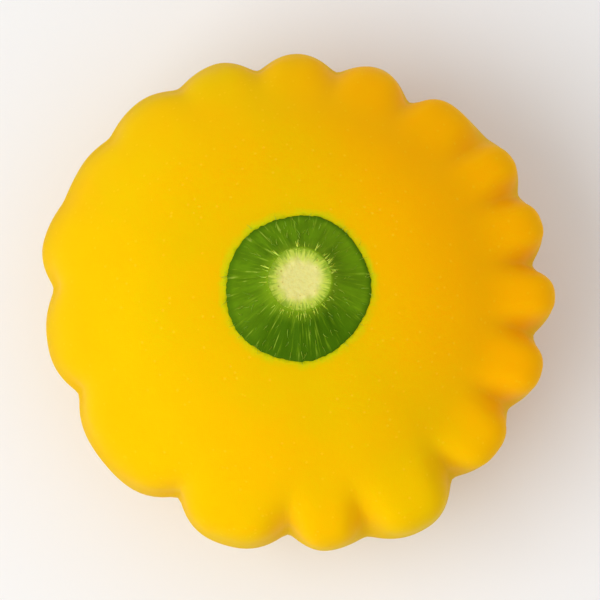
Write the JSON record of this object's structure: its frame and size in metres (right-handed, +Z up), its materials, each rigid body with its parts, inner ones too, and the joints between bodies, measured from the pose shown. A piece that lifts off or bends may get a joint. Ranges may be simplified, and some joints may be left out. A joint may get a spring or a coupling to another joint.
{
  "type": "pattypan squash",
  "caption": "Small flat-round squash with a scalloped rim, a domed crown and a trimmed green stalk stub, lying on its blossom end.",
  "frame": {"origin": "on the resting surface, under the middle of the squash's outline", "axes": "+Z up through the stalk, from the blossom end to the stem end; X and Y lie across the scalloped rim"},
  "size_m": [0.0528, 0.0514, 0.0322],
  "materials": {
    "squash_skin": "smooth, waxy, bright yellow skin with a soft sheen",
    "stalk": "ribbed green stalk with a pale, fibrous cut face"
  },
  "bodies": {
    "root": {"fruit": "squash_skin", "stem": "stalk"}
  },
  "joints": []
}
